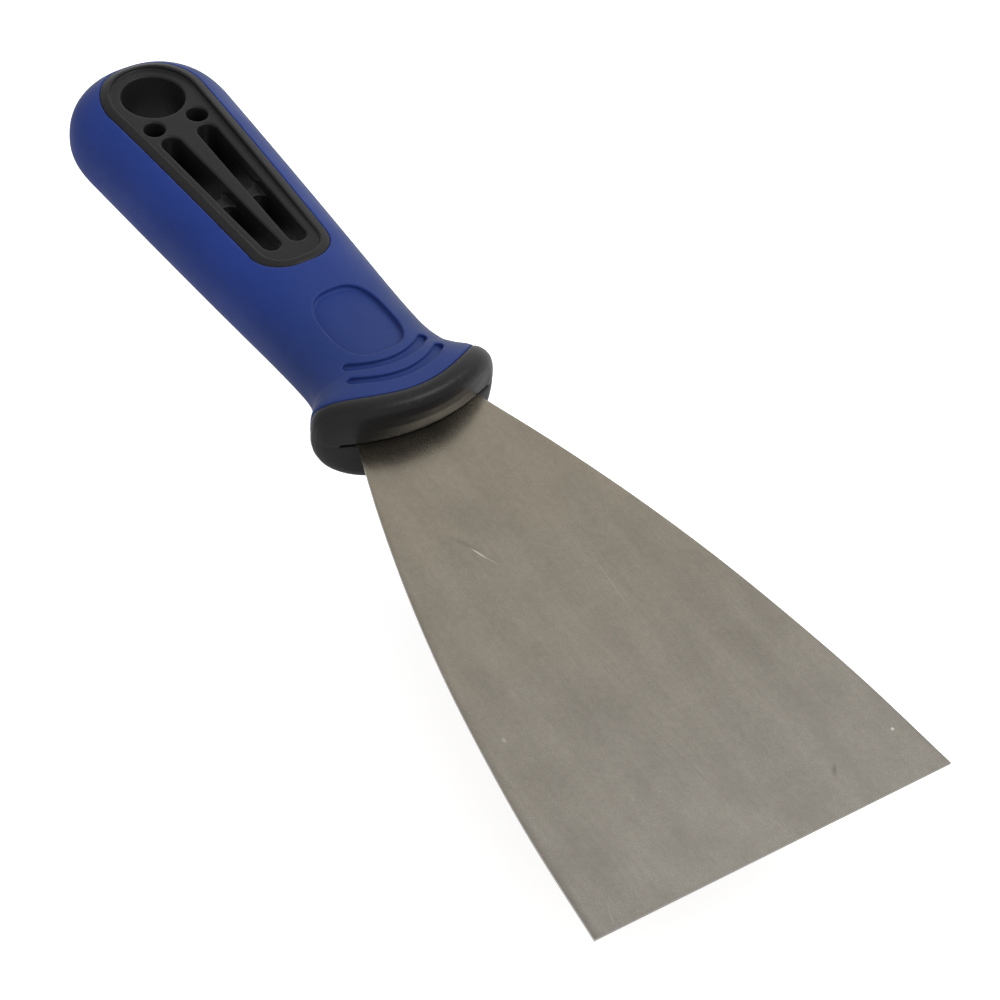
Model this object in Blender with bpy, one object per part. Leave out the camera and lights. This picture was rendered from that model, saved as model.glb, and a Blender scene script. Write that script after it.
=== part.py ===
"""Flexible putty knife: a spring-steel blade in a two-material moulded handle.

Frame: +X runs along the handle towards the blade's working edge, +Y to the
side, +Z up. The origin is the middle of the working edge. The pieces are drawn
from the slot where the blade leaves the bolster, on the handle's centre line,
and the root empty carries them to the origin. Lengths are in millimetres and
are turned into metres when a mesh is made. "Front" is towards +X.
"""

import math

import bmesh
import bpy

MM = 0.001

# ---- shared fits --------------------------------------------------------------
GRIP_WALL = 2.2
GAP = 0.3                   # clearance between neighbouring pieces

# ---- blade --------------------------------------------------------------------
BLADE_LENGTH = 109.4        # slot to working edge
BLADE_EDGE_WIDTH = 75.0
BLADE_THICKNESS = 0.6
BLADE_SET = math.radians(4.15)      # the blade points this far below the handle's axis
BLADE_STEPS = 22
FLEX_AT = 16.0              # ahead of the slot: the line that the free blade bends about
SHOULDER = 3.0              # full-width blade carried on inside the slot
SHOULDER_STEP = 0.3         # the shoulder is this much narrower on each side
SHOULDER_RADIUS = 1.0       # of its corners and of the fillets into the tang
TANG_LENGTH = 40.0
TANG_WIDTH = 17.0
TANG_CORNER = 4.0
# distance ahead of the slot, half width
BLADE_STATIONS = ((0.0, 13.3), (16.0, 19.0), (34.0, 24.5), (52.0, 29.0), (70.0, 32.5),
                  (87.4, 35.2), (BLADE_LENGTH, BLADE_EDGE_WIDTH / 2))

# ---- tang pins ----------------------------------------------------------------
PINS = (("front", -14.0), ("rear", -33.0))      # name, position on the handle's axis
PIN_RADIUS, PIN_HALF_LENGTH, PIN_SEGMENTS = 2.0, 5.7, 24
TANG_HOLE_GAP = GAP + 0.1
TANG_HOLE_REACH = 3.0       # of the hole cutters, above and below the blade

# ---- handle form --------------------------------------------------------------
BUTT_START = -92.0          # where the handle begins to round off
BUTT_LENGTH = 15.6
BUTT_WIDTH_POWER, BUTT_THICKNESS_POWER = 2.4, 3.0   # superellipse exponents of the rounding
GRIP_END = -0.8             # where the soft grip stops and the bolster's collar begins
# position along the axis, half width, half thickness
HANDLE_STATIONS = ((BUTT_START, 16.5, 10.4), (-80.0, 15.9, 10.5), (-66.0, 15.25, 10.3),
                   (-52.0, 14.6, 9.9), (-40.0, 14.05, 9.35), (-30.0, 13.6, 8.8),
                   (-22.0, 13.35, 8.55), (-16.0, 13.5, 8.5), (-11.0, 14.4, 8.55),
                   (-7.0, 15.8, 8.65), (-3.5, 17.2, 8.75), (GRIP_END, 17.8, 8.8))
# where the lofted sections lie: shares of the butt's length, then positions
BUTT_SHARES = (0.9985, 0.985, 0.955, 0.9, 0.82, 0.71, 0.57, 0.4, 0.2)
SECTION_POSITIONS = (BUTT_START, -82.4, -73.2, -64.3, -56.0, -48.0, -41.0, -35.0, -30.0,
                     -25.5, -21.5, -18.0, -15.0, -12.4, -9.8, -7.4, -5.0, -2.8, GRIP_END)
MIN_SPACING = 0.6           # sections closer than this to the last one are left out
RING_POINTS = 32
SECTION_POWER = 2.4         # superellipse exponent of the grip's cross-section
COLLAR_POWER = 3.1          # the section is fuller at the bolster
POWER_BLEND_START, POWER_BLEND_LENGTH = -10.0, 9.0
ARC_START, ARC_DROP = -20.0, 1.0 / 40.0     # the front of the grip is an arc in plan

CORE_END = 0.8              # the core runs on into the collar
# bolster's collar: position, half width, half thickness, arc drop
COLLAR = ((-0.5, 17.7, 8.75, 1 / 40), (0.15, 18.5, 9.05, 1 / 43), (1.0, 18.9, 9.15, 1 / 47),
          (1.9, 18.8, 9.0, 1 / 51), (2.6, 18.3, 8.5, 1 / 52), (2.95, 17.5, 7.6, 1 / 53),
          (3.1, 17.1, 6.0, 1 / 54), (2.8, 16.8, 3.9, 1 / 58), (2.2, 16.3, 1.9, 1 / 66),
          (1.6, 15.4, 0.2, 1 / 76))
COLLAR_TIP = 1.5            # the front face lies furthest back along the slot

# ---- hard panel and its openings ----------------------------------------------
PANEL_REAR, PANEL_FRONT = -104.5, -38.7
PANEL_REAR_HALF, PANEL_FRONT_HALF = 10.5, 8.2
PANEL_REAR_ARC, PANEL_CORNER = 11.5, 7.0
PANEL_CORNER_INSET = 0.6    # corner radius lost per millimetre of inset
PANEL_RIM = 1.9
PANEL_FLOOR = 8.43          # height of the recessed floor above mid-plane
PANEL_SKIN_END = -24.0      # front of the handle form that trims the panel

HANG_X, HANG_RADIUS, HANG_SEGMENTS = -94.1, 6.15, 40
SMALL_X, SMALL_Y, SMALL_RADIUS, SMALL_SEGMENTS = -85.6, 4.74, 2.06, 20
SLOT_REAR, SLOT_FRONT = (-80.3, 3.98, 2.03), (-46.8, 2.8, 1.8)   # round ends: x, y, radius
SLOT_SHELF = 6.0            # the cross rib's top and underside
RIB_REAR, RIB_FRONT = -65.1, -61.5
RIB_BITE = 0.6              # how far the slots' round ends reach into the rib

# ---- soft grip details --------------------------------------------------------
PAD_X, PAD_HALF_LENGTH, PAD_HALF_WIDTH, PAD_POWER, PAD_DEPTH = -21.3, 9.3, 6.6, 2.8, 0.9
PAD_POINTS, PAD_SHARES = 32, (1.0, 0.7, 0.35)           # rings of the pad's floor
GROOVES = ((-21.0, 11.85, 8.1), (-19.0, 13.85, 9.4))    # centre, radius, half length across
GROOVE_WIDTH, GROOVE_DEPTH = 1.6, 0.7
GROOVE_STEPS, GROOVE_CAP_STEPS = 14, 5

# ---- blade slot in the bolster ------------------------------------------------
POCKET_HALF_THICKNESS = BLADE_THICKNESS / 2 + GAP
POCKET_FRONT = 1.0
MOUTH_HALF = 15.9           # the slot is wider than the blade at the bolster
MOUTH_TAPER = 2.2           # narrowing of each side at the rear
MOUTH_FULL_AT, MOUTH_FRONT = -2.6, 8.0
MOUTH_EXTRA = 0.06          # the mouth is this much higher than the pocket, each side

# ---- how far the cutters reach from mid-plane ---------------------------------
CUT_HEIGHT = 13.0
WINDOW_CUT_HEIGHT = 14.0
SURFACE_CUT_TOP = 12.0
GRIP_INSIDE_END = 3.0


# ---- curves and outlines ------------------------------------------------------
def smooth(stations, x, column=1):
    """Cubic through the stations, with slopes from their neighbours."""
    xs = [s[0] for s in stations]
    ys = [s[column] for s in stations]
    last = len(xs) - 1
    if x <= xs[0]:
        return ys[0]
    if x >= xs[-1]:
        return ys[-1]
    i = max(k for k in range(last) if xs[k] <= x)

    def slope(k):
        before, after = max(k - 1, 0), min(k + 1, last)
        return (ys[after] - ys[before]) / (xs[after] - xs[before])

    step = xs[i + 1] - xs[i]
    t = (x - xs[i]) / step
    return ((2 * t ** 3 - 3 * t ** 2 + 1) * ys[i]
            + (t ** 3 - 2 * t ** 2 + t) * step * slope(i)
            + (3 * t ** 2 - 2 * t ** 3) * ys[i + 1]
            + (t ** 3 - t ** 2) * step * slope(i + 1))


def clamp(value):
    return min(max(value, 0.0), 1.0)


def superellipse(half_1, half_2, power, angle):
    """Point of a superellipse about the origin."""
    def reach(half, value):
        return half * math.copysign(abs(value) ** (2 / power), value)
    return reach(half_1, math.cos(angle)), reach(half_2, math.sin(angle))


def arc_points(centre_x, centre_y, radius_x, radius_y, start, end, steps):
    """Points of an elliptical arc, both ends included; angles in degrees."""
    angles = [math.radians(start + (end - start) * k / steps) for k in range(steps + 1)]
    return [(centre_x + radius_x * math.cos(a), centre_y + radius_y * math.sin(a))
            for a in angles]


def mirror_y(outline):
    return [(x, -y) for x, y in reversed(outline)]


def panel_outline(inset):
    """Plan of the hard panel: a half ellipse behind, rounded corners in front."""
    rear_half, front_half = PANEL_REAR_HALF - inset, PANEL_FRONT_HALF - inset
    rear_arc = PANEL_REAR_ARC - inset
    corner = PANEL_CORNER - inset * PANEL_CORNER_INSET
    corner_x, corner_y = PANEL_FRONT - inset - corner, front_half - corner
    points = arc_points(PANEL_REAR + inset + rear_arc, 0, rear_arc, rear_half, 90, 270, 20)
    points += arc_points(corner_x, -corner_y, corner, corner, -90, 0, 7)
    points += arc_points(corner_x, corner_y, corner, corner, 0, 90, 7)
    return points


def tapered_slot(rear, front, steps=8):
    """Outline round two circles given as (x, y, radius)."""
    (x0, y0, r0), (x1, y1, r1) = rear, front
    along = math.degrees(math.atan2(y1 - y0, x1 - x0))
    lean = math.degrees(math.asin((r0 - r1) / math.hypot(x1 - x0, y1 - y0)))
    return (arc_points(x0, y0, r0, r0, along + 90 - lean, along + 270 + lean, steps)
            + arc_points(x1, y1, r1, r1, along - 90 + lean, along + 90 - lean, steps))


def slot_end(x, side):
    """Round end of a part slot that stops at x; side is +1 if it lies ahead of x."""
    share = (x - SLOT_REAR[0]) / (SLOT_FRONT[0] - SLOT_REAR[0])
    on_x, y, radius = (r + share * (f - r) for r, f in zip(SLOT_REAR, SLOT_FRONT))
    return on_x + side * radius, y, radius


# ---- the handle's outer form --------------------------------------------------
def section_power(position):
    blend = clamp((position - POWER_BLEND_START) / POWER_BLEND_LENGTH)
    return SECTION_POWER + (COLLAR_POWER - SECTION_POWER) * blend


def arc_drop(position):
    return ARC_DROP * clamp((position - ARC_START) / (GRIP_END - ARC_START))


def section_ring(position, half_width, half_thickness, drop):
    """One superellipse section, bent back in plan by drop times y squared."""
    points, power = [], section_power(position)
    for k in range(RING_POINTS):
        angle = 2 * math.pi * (k + 0.5) / RING_POINTS
        y, z = superellipse(half_width, half_thickness, power, angle)
        points.append((position - drop * y * y, y, z))
    return points


def handle_half(position, inset=0.0):
    """Half width and half thickness of the handle, inset all round."""
    width = smooth(HANDLE_STATIONS, position, 1) - inset
    thickness = smooth(HANDLE_STATIONS, position, 2) - inset
    if position < BUTT_START:
        t = min((BUTT_START - position) / (BUTT_LENGTH - inset), 1.0)
        width *= (1 - t ** BUTT_WIDTH_POWER) ** (1 / BUTT_WIDTH_POWER)
        thickness *= (1 - t ** BUTT_THICKNESS_POWER) ** (1 / BUTT_THICKNESS_POWER)
    return width, thickness


def handle_top(x, y):
    """Height of the handle's outer surface over a point of the plan."""
    position = x
    for _ in range(4):      # find the bent section that passes through the point
        position = x + arc_drop(position) * y * y
    half_width, half_thickness = handle_half(position)
    power = section_power(position)
    share = min(abs(y) / half_width, 1.0)
    return half_thickness * (1 - share ** power) ** (1 / power)


def handle_rings(inset, end):
    """Sections from the butt to the given end."""
    positions = [BUTT_START - share * (BUTT_LENGTH - inset) for share in BUTT_SHARES]
    positions += [p for p in SECTION_POSITIONS if p < end - MIN_SPACING]
    positions.append(end)
    return [section_ring(p, *handle_half(p, inset), arc_drop(p)) for p in positions]


# ---- meshes -------------------------------------------------------------------
def link(obj):
    bpy.context.scene.collection.objects.link(obj)
    return obj


def mesh_object(name, verts, faces):
    mesh = bpy.data.meshes.new(name)
    mesh.from_pydata([(x * MM, y * MM, z * MM) for x, y, z in verts], [], faces)
    bm = bmesh.new()
    bm.from_mesh(mesh)
    bmesh.ops.recalc_face_normals(bm, faces=bm.faces)
    bm.to_mesh(mesh)
    bm.free()
    made = link(bpy.data.objects.new(name, mesh))
    made.parent = ROOT
    return made


def band(first, second, count):
    """Quads between two closed rings that start at the given vertices."""
    return [(first + k, first + (k + 1) % count, second + (k + 1) % count, second + k)
            for k in range(count)]


def fan(hub, first, count):
    return [(hub, first + k, first + (k + 1) % count) for k in range(count)]


def loft(name, rings, tip=None):
    """Skin over rings of equal count, closed by a fan at each end."""
    count, last = len(rings[0]), len(rings) - 1
    verts = [p for r in rings for p in r]
    faces = []
    for i in range(last):
        faces += band(i * count, (i + 1) * count, count)
    for i in (0, last):
        centre = [sum(p[axis] for p in rings[i]) / count for axis in range(3)]
        if i == last and tip is not None:
            centre[0] = tip
        verts.append(tuple(centre))
        faces += fan(len(verts) - 1, i * count, count)
    return mesh_object(name, verts, faces)


def prism(name, outline, bottom, top):
    """Straight prism over a closed plan outline."""
    count = len(outline)
    verts = [(x, y, z) for z in (bottom, top) for x, y in outline]
    faces = [tuple(range(count)), tuple(range(count, 2 * count))]
    return mesh_object(name, verts, faces + band(0, count, count))


def through_prism(name, outline, half_height=CUT_HEIGHT):
    return prism(name, outline, -half_height, half_height)


def cylinder(name, x, y, radius, half_height, segments):
    outline = arc_points(x, y, radius, radius, 0, 360, segments)[:-1]
    return through_prism(name, outline, half_height)


def surface_cutter(name, plan, floor_faces, rim_count, depth):
    """Cutter with its floor at an even depth below the handle's top surface.

    The first rim_count points of the plan are its closed rim.
    """
    size = len(plan)
    verts = [(x, y, handle_top(x, y) - depth) for x, y in plan]
    verts += [(x, y, SURFACE_CUT_TOP) for x, y in plan]
    top_faces = [tuple(size + v for v in face) for face in floor_faces]
    return mesh_object(name, verts, floor_faces + top_faces + band(0, size, rim_count))


# ---- modifiers and finish -----------------------------------------------------
def boolean(obj, helper, operation):
    helper.hide_render = True
    helper.display_type = "WIRE"
    modifier = obj.modifiers.new(helper.name, "BOOLEAN")
    modifier.operation = operation
    modifier.object = helper
    modifier.solver = "EXACT"


def cut(obj, helper):
    boolean(obj, helper, "DIFFERENCE")


def material(name, colour, roughness, metallic):
    made = bpy.data.materials.new(name)
    made.use_nodes = True
    shader = made.node_tree.nodes["Principled BSDF"]
    shader.inputs["Base Color"].default_value = (*colour, 1.0)
    shader.inputs["Roughness"].default_value = roughness
    shader.inputs["Metallic"].default_value = metallic
    made.diffuse_color = (*colour, 1.0)
    return made


def finish(obj, surface):
    """Give the piece its material and smooth shading with sharp edges over 35 degrees."""
    obj.data.materials.append(surface)
    obj.data.shade_smooth()
    obj.data.set_sharp_from_angle(angle=math.radians(35.0))


# ---- pieces -------------------------------------------------------------------
def empty_along_blade(name, ahead):
    """Empty at a distance ahead of its parent's origin, along the blade's slope."""
    made = link(bpy.data.objects.new(name, None))
    made.location = (ahead * MM * math.cos(BLADE_SET), 0.0, -ahead * MM * math.sin(BLADE_SET))
    return made


def blade_frame(name, ahead):
    """Empty in the blade's plane."""
    made = empty_along_blade(name, ahead)
    made.parent = ROOT
    made.rotation_euler = (0.0, BLADE_SET, 0.0)
    return made


def build_blade():
    """Blade, shoulder and tang in one flat sheet, drawn from the flex line."""
    radius, tang_half = SHOULDER_RADIUS, TANG_WIDTH / 2
    shoulder_half = BLADE_STATIONS[0][1] - SHOULDER_STEP
    side = []
    for k in range(BLADE_STEPS, -1, -1):
        ahead = BLADE_LENGTH * k / BLADE_STEPS
        side.append((ahead, smooth(BLADE_STATIONS, ahead)))
    side += arc_points(-SHOULDER + radius, shoulder_half - radius, radius, radius, 90, 180, 4)
    side += arc_points(-SHOULDER - radius, tang_half + radius, radius, radius, 0, -90, 4)
    side += arc_points(-TANG_LENGTH + TANG_CORNER, tang_half - TANG_CORNER,
                       TANG_CORNER, TANG_CORNER, 90, 180, 5)
    outline = [(x - FLEX_AT, y) for x, y in side + mirror_y(side)]
    blade = through_prism("blade", outline, BLADE_THICKNESS / 2)
    blade.parent = BLADE_AXIS
    for place, x in PINS:
        hole = cylinder(f"cut_tang_hole_{place}", x / math.cos(BLADE_SET), 0.0,
                        PIN_RADIUS + TANG_HOLE_GAP, TANG_HOLE_REACH, PIN_SEGMENTS)
        hole.parent = SLOT_FRAME
        cut(blade, hole)
    finish(blade, STEEL)


def build_pins():
    for place, x in PINS:
        pin = cylinder(f"tang_pin_{place}", 0.0, 0.0, PIN_RADIUS, PIN_HALF_LENGTH,
                       PIN_SEGMENTS)
        pin.location = (x * MM, 0.0, 0.0)
        finish(pin, PIN_STEEL)


def cut_slots(core):
    """Two slots crossed by a sunken rib, and two small holes behind them."""
    whole = tapered_slot(SLOT_REAR, SLOT_FRONT)
    rear_part = tapered_slot(SLOT_REAR, slot_end(RIB_REAR + RIB_BITE, -1))
    front_part = tapered_slot(slot_end(RIB_FRONT - RIB_BITE, 1), SLOT_FRONT)
    # in the helpers' names, "right" is the +Y side
    for side, sign in (("left", -1), ("right", 1)):
        outlines = (whole, rear_part, front_part)
        if sign < 0:
            outlines = [mirror_y(outline) for outline in outlines]
        cut(core, prism(f"cut_slot_top_{side}", outlines[0], SLOT_SHELF, CUT_HEIGHT))
        cut(core, prism(f"cut_slot_bottom_{side}", outlines[0], -CUT_HEIGHT, -SLOT_SHELF))
        cut(core, through_prism(f"cut_slot_rear_{side}", outlines[1]))
        cut(core, through_prism(f"cut_slot_front_{side}", outlines[2]))
        cut(core, cylinder(f"cut_small_hole_{side}", SMALL_X, sign * SMALL_Y, SMALL_RADIUS,
                           CUT_HEIGHT, SMALL_SEGMENTS))


def cut_blade_slot(core):
    """Pocket round the tang and the wider mouth in front of it."""
    rear, half = -TANG_LENGTH - GAP, TANG_WIDTH / 2 + GAP
    pocket = through_prism("cut_tang_pocket",
                           [(rear, -half), (POCKET_FRONT, -half), (POCKET_FRONT, half),
                            (rear, half)],
                           POCKET_HALF_THICKNESS)
    rear, rear_half = -SHOULDER - GAP, MOUTH_HALF - MOUTH_TAPER
    mouth_side = [(rear, -rear_half), (MOUTH_FULL_AT, -MOUTH_HALF), (MOUTH_FRONT, -MOUTH_HALF)]
    mouth = through_prism("cut_mouth", mouth_side + mirror_y(mouth_side),
                          POCKET_HALF_THICKNESS + MOUTH_EXTRA)
    for part in (pocket, mouth):
        part.parent = SLOT_FRAME
        cut(core, part)


def build_core():
    """Hard core with the bolster's collar and the panel that fills the grip's window."""
    core = loft("handle_core", handle_rings(GRIP_WALL, CORE_END))
    collar = loft("join_collar", [section_ring(*station) for station in COLLAR], COLLAR_TIP)
    boolean(core, collar, "UNION")
    panel = through_prism("join_panel", panel_outline(0.0))
    boolean(panel, loft("join_panel_skin", handle_rings(0.0, PANEL_SKIN_END)), "INTERSECT")
    boolean(core, panel, "UNION")
    cut_slots(core)
    recess = panel_outline(PANEL_RIM)
    cut(core, prism("cut_panel_top", recess, PANEL_FLOOR, CUT_HEIGHT))
    cut(core, prism("cut_panel_bottom", recess, -CUT_HEIGHT, -PANEL_FLOOR))
    cut(core, cylinder("cut_hang_hole", HANG_X, 0.0, HANG_RADIUS, CUT_HEIGHT, HANG_SEGMENTS))
    cut_blade_slot(core)
    for place, x in PINS:
        cut(core, cylinder(f"cut_pin_bore_{place}", x, 0.0, PIN_RADIUS + GAP, CUT_HEIGHT,
                           PIN_SEGMENTS))
    finish(core, HARD_PLASTIC)


def pad_cutter():
    """Thumb pad: a superellipse in plan."""
    count, plan = PAD_POINTS, []
    for share in PAD_SHARES:
        for k in range(count):
            x, y = superellipse(share * PAD_HALF_LENGTH, share * PAD_HALF_WIDTH, PAD_POWER,
                                2 * math.pi * k / count)
            plan.append((PAD_X + x, y))
    plan.append((PAD_X, 0.0))
    innermost = (len(PAD_SHARES) - 1) * count
    floor = []
    for first in range(0, innermost, count):
        floor += band(first, first + count, count)
    floor += fan(len(plan) - 1, innermost, count)
    return surface_cutter("cut_thumb_pad", plan, floor, count, PAD_DEPTH)


def groove_cutter(name, centre, radius, half_across):
    """Arc groove with round ends."""
    reach = math.asin(half_across / radius)
    end_x, end_y = centre + radius * math.cos(reach), radius * math.sin(reach)
    angle, half = math.degrees(reach), GROOVE_WIDTH / 2
    outer, inner = radius + half, radius - half
    steps, cap_steps = GROOVE_STEPS, GROOVE_CAP_STEPS
    plan = arc_points(centre, 0.0, outer, outer, -angle, angle, steps)
    plan += arc_points(end_x, end_y, half, half, angle, angle + 180, cap_steps)[1:-1]
    plan += arc_points(centre, 0.0, inner, inner, angle, -angle, steps)
    plan += arc_points(end_x, -end_y, half, half, 180 - angle, 360 - angle, cap_steps)[1:-1]
    # strips across the groove, paired point by point, keep both ends simple
    inner_first = steps + cap_steps
    inner_last = inner_first + steps
    floor = [(k, k + 1, inner_last - k - 1, inner_last - k) for k in range(steps)]
    floor.append(tuple(range(steps, inner_first + 1)))
    floor.append((*range(inner_last, len(plan)), 0))
    return surface_cutter(name, plan, floor, len(plan), GROOVE_DEPTH)


def build_grip():
    """Soft sleeve round the core, open over the panel on both faces."""
    grip = loft("grip_sleeve", handle_rings(0.0, GRIP_END))
    cut(grip, loft("cut_grip_inside", handle_rings(GRIP_WALL - GAP, GRIP_INSIDE_END)))
    cut(grip, through_prism("cut_grip_window", panel_outline(-GAP), WINDOW_CUT_HEIGHT))
    cut(grip, pad_cutter())
    for number, groove in enumerate(GROOVES, 1):
        cut(grip, groove_cutter(f"cut_groove_{number}", *groove))
    finish(grip, SOFT_RUBBER)


for old in list(bpy.data.objects):
    bpy.data.objects.remove(old, do_unlink=True)

STEEL = material("spring_steel", colour=(0.30, 0.27, 0.23), roughness=0.38, metallic=1.0)
PIN_STEEL = material("pin_steel", colour=(0.45, 0.45, 0.46), roughness=0.3, metallic=1.0)
HARD_PLASTIC = material("dark_grey_plastic", colour=(0.035, 0.034, 0.038), roughness=0.45,
                        metallic=0.0)
SOFT_RUBBER = material("blue_rubber", colour=(0.024, 0.05, 0.23), roughness=0.55,
                       metallic=0.0)

ROOT = empty_along_blade("putty_knife", -BLADE_LENGTH)
SLOT_FRAME = blade_frame("slot_frame", 0.0)         # at the slot
BLADE_AXIS = blade_frame("blade_axis", FLEX_AT)     # where the blade flexes

build_blade()
build_pins()
build_core()
build_grip()
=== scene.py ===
"""A filling knife: a flexible steel blade in a dark grey core with a blue rubber sleeve.

The frame's origin is the middle of the working edge. The handle runs back along -x, y is
across the tool and z is up. Shapes are drawn in millimetres from the slot, where the blade
enters the handle at x = 0; from there the blade slopes down to its working edge.
"""
import math

import bmesh
import bpy
import numpy as np
from mathutils import Matrix, Vector

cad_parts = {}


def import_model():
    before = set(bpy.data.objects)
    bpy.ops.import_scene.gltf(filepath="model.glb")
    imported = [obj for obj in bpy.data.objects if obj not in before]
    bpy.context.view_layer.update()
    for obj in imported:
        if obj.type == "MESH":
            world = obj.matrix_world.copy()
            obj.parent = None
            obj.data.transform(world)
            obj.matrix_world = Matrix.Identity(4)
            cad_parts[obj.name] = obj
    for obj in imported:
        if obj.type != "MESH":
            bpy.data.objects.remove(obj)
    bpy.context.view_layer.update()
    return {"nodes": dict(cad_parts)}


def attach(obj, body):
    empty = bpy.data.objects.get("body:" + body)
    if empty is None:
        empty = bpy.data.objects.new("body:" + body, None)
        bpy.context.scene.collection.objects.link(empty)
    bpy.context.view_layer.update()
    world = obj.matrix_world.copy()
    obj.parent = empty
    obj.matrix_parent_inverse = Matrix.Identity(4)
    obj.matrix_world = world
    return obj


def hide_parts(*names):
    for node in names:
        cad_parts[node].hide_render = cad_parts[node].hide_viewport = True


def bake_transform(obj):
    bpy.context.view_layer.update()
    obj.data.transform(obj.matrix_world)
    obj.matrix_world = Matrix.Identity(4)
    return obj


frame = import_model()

MM = 0.001
CELL = 0.26          # size of a surface cell

# ---- dimensions, in millimetres ------------------------------------------------------
BLADE_LENGTH, BLADE_THICKNESS = 109.4, 0.6
BLADE_SLOPE = math.radians(4.15)
SLOPE_COS, SLOPE_SIN = math.cos(BLADE_SLOPE), math.sin(BLADE_SLOPE)
# distance ahead of the slot, half width
BLADE_STATIONS = ((0.0, 13.3), (16.0, 19.0), (34.0, 24.5), (52.0, 29.0),
                  (70.0, 32.5), (87.4, 35.2), (BLADE_LENGTH, 37.5))
BLADE_ACROSS, BLADE_ALONG = 44, 110          # mesh steps
EDGE_ROUND, EDGE_MID = 0.09, 0.025           # softened edge, and its middle point
TANG_LENGTH, TANG_HALF, TANG_CORNER = 40.0, 8.5, 4.0
SHOULDER_ROUND = 1.0

BUTT_START, BUTT_LENGTH = -92.0, 15.6
BUTT_END = BUTT_START - BUTT_LENGTH
BUTT_POWERS = (2.4, 3.0)                     # roundness in plan, in side view
GRIP_END = -0.8
# x, half width, half height
HANDLE_STATIONS = (
    (BUTT_START, 16.5, 10.4), (-80.0, 15.9, 10.5), (-66.0, 15.25, 10.3),
    (-52.0, 14.6, 9.9), (-40.0, 14.05, 9.35), (-30.0, 13.6, 8.8),
    (-22.0, 13.35, 8.55), (-16.0, 13.5, 8.5), (-11.0, 14.4, 8.55),
    (-7.0, 15.8, 8.65), (-3.5, 17.2, 8.75), (GRIP_END, 17.8, 8.8))
SECTION_POWER = ((-10.0, -1.0), (2.4, 3.1))  # x, squareness of the section there
# sections are bowed back at the sides by bow * y * y; the bow grows from here to GRIP_END
BOW_FROM, FULL_BOW = -20.0, 1 / 40

# station, half width, half height of the lower half, bow
COLLAR_STATIONS = np.array((
    (-1.3, 17.35, 8.45, 1 / 41), (-0.5, 17.95, 8.66, 1 / 40), (0.2, 18.5, 8.85, 1 / 43),
    (1.0, 18.9, 9.08, 1 / 47), (1.9, 18.95, 9.12, 1 / 51), (2.8, 18.8, 8.98, 1 / 52),
    (3.6, 18.5, 8.7, 1 / 54), (4.6, 17.9, 8.2, 1 / 54))).T
COLLAR_POWER, COLLAR_REAR = 3.1, -1.12
# the collar's upper half: crest station and height, radius ahead of it, fall behind it
CREST_AT, CREST_HEIGHT, CREST_RADIUS, CREST_FALL = 0.55, 9.14, 4.6, 0.165
# the collar's front face: height from mid plane, x in the upper half, x in the lower, bow
FACE_STATIONS = np.array((
    (0.0, 1.5, 1.5, 1 / 76), (0.6, 1.72, 1.72, 1 / 74), (1.9, 2.2, 2.2, 1 / 66),
    (3.9, 2.8, 2.8, 1 / 58), (6.0, 3.1, 3.1, 1 / 54), (7.6, 3.05, 3.0, 1 / 53),
    (8.5, 2.9, 2.8, 1 / 52), (9.0, 2.8, 2.6, 1 / 51), (9.6, 2.65, 2.3, 1 / 50),
    (12.0, 2.3, 1.5, 1 / 50))).T
FACE_LEAN = 0.93                             # scales x to distance from the leaning face

SLEEVE_THICKNESS, CORE_INSET = 1.9, 2.2
# the core's panel, which shows through the sleeve above and below
PANEL_REAR, PANEL_FRONT, PANEL_REAR_HALF, PANEL_FRONT_HALF = -104.5, -38.7, 10.5, 8.2
PANEL_REAR_ARC, PANEL_CORNER, PANEL_RIM, PANEL_FLOOR = 11.5, 7.0, 1.9, 8.43
LARGE_HOLE = (-94.1, 0.0, 6.15)              # x, y, radius
SMALL_HOLE = (-85.6, 4.74, 2.06)             # one each side
# the panel's pair of long slots: x, y and radius of each round end
SLOT_REAR, SLOT_FRONT = (-80.3, 3.98, 2.03), (-46.8, 2.8, 1.8)
SLOT_SHELF = 6.0                             # height of the rib across each slot
RIB_REAR, RIB_FRONT, RIB_TRIM = -65.1, -61.5, 0.6

# an oval recess on top of the sleeve, with two arc grooves ahead of it
RECESS_X, RECESS_LENGTH, RECESS_WIDTH = -21.3, 9.3, 6.6      # half sizes
RECESS_POWER, RECESS_DEPTH = 2.8, 1.15
GROOVES = ((-21.0, 11.85, 8.1), (-19.0, 13.85, 9.4))         # centre x, radius, half span
GROOVE_WIDTH, GROOVE_DEPTH = 1.8, 0.95
TOP_CUTS_ABOVE = 3.0                         # recess and grooves stay above this z

MOUTH_HALF, MOUTH_DEPTH, MOUTH_HALF_HEIGHT = 15.9, 3.3, 0.38
POCKET_HALF, POCKET_FRONT, POCKET_HALF_HEIGHT, POCKET_GAP = 8.8, -2.0, 0.6, 0.3
PIN_XS, PIN_BORE, PIN_HALF_HEIGHT = (-14.0, -33.0), 2.3, 5.9

SLOT_TO_ORIGIN = np.array([-BLADE_LENGTH * SLOPE_COS, 0.0, BLADE_LENGTH * SLOPE_SIN])


def world(points):
    """Millimetres from the slot to metres in the frame."""
    return (np.asarray(points, float) + SLOT_TO_ORIGIN) * MM


def add_object(name, data):
    added = bpy.data.objects.new(name, data)
    bpy.context.scene.collection.objects.link(added)
    return added


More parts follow.
